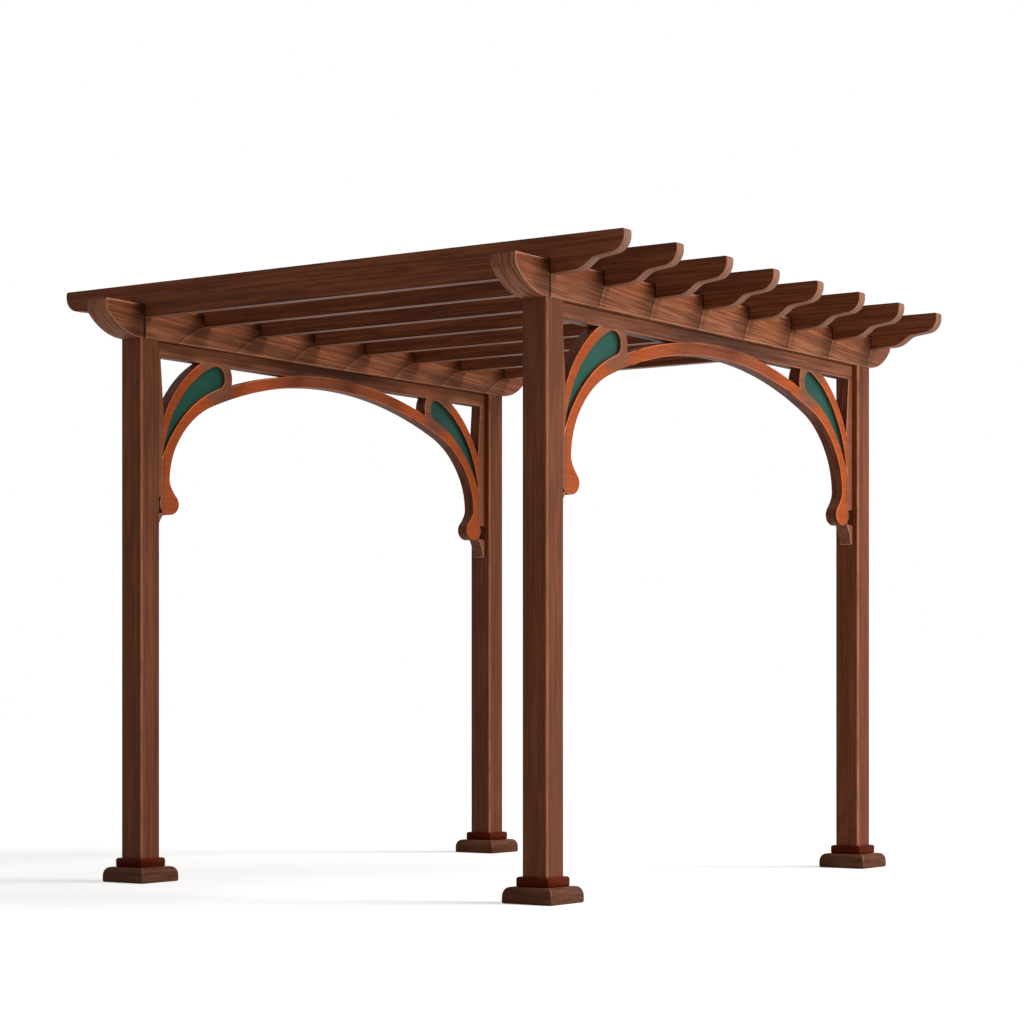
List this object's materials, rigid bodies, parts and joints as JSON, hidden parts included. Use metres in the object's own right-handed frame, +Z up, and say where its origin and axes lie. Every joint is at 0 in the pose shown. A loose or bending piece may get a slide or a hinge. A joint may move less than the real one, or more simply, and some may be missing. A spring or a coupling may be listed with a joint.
{
  "type": "pergola",
  "caption": "Open timber pergola with square posts on plinths, swept beams, ogee-tailed rafters and arched fretwork side panels with green inlays.",
  "frame": {"origin": "on the ground, midway between the four posts", "axes": "+Z up, X along the rafters with the right beam at +X, Y along the beams with the front end at -Y"},
  "size_m": [2.916, 3.182, 2.595],
  "materials": {
    "post_timber": "oiled mahogany-red timber, satin, grain along the post",
    "beam_timber": "oiled mahogany-red timber, satin, grain along the beam",
    "rafter_timber": "oiled dark red-brown timber, satin, paler sawn undersides",
    "rail_timber": "oiled red-brown timber, satin",
    "fretwork_timber": "oiled orange-brown timber, satin, eased edges",
    "corbel_timber": "oiled red-brown timber, satin",
    "plinth_timber": "oiled brown timber, satin, rounded edges",
    "collar_timber": "dark red-brown stained timber, satin",
    "inlay_panel": "deep green satin paint"
  },
  "bodies": {
    "root": {"arch_crown_left": "fretwork_timber", "arch_crown_right": "fretwork_timber", "beam_left": "beam_timber", "beam_right": "beam_timber", "bracket_back_left": "fretwork_timber", "bracket_back_right": "fretwork_timber", "bracket_front_left": "fretwork_timber", "bracket_front_right": "fretwork_timber", "collar_back_left": "collar_timber", "collar_back_right": "collar_timber", "collar_front_left": "collar_timber", "collar_front_right": "collar_timber", "corbel_back_left": "corbel_timber", "corbel_back_right": "corbel_timber", "corbel_front_left": "corbel_timber", "corbel_front_right": "corbel_timber", "inlay_back_left": "inlay_panel", "inlay_back_right": "inlay_panel", "inlay_front_left": "inlay_panel", "inlay_front_right": "inlay_panel", "plinth_back_left": "plinth_timber", "plinth_back_right": "plinth_timber", "plinth_front_left": "plinth_timber", "plinth_front_right": "plinth_timber", "post_back_left": "post_timber", "post_back_right": "post_timber", "post_front_left": "post_timber", "post_front_right": "post_timber", "rafter_1": "rafter_timber", "rafter_2": "rafter_timber", "rafter_3": "rafter_timber", "rafter_4": "rafter_timber", "rafter_5": "rafter_timber", "rafter_6": "rafter_timber", "rafter_7": "rafter_timber", "rafter_8": "rafter_timber", "top_rail_left": "rail_timber", "top_rail_right": "rail_timber"}
  },
  "joints": []
}
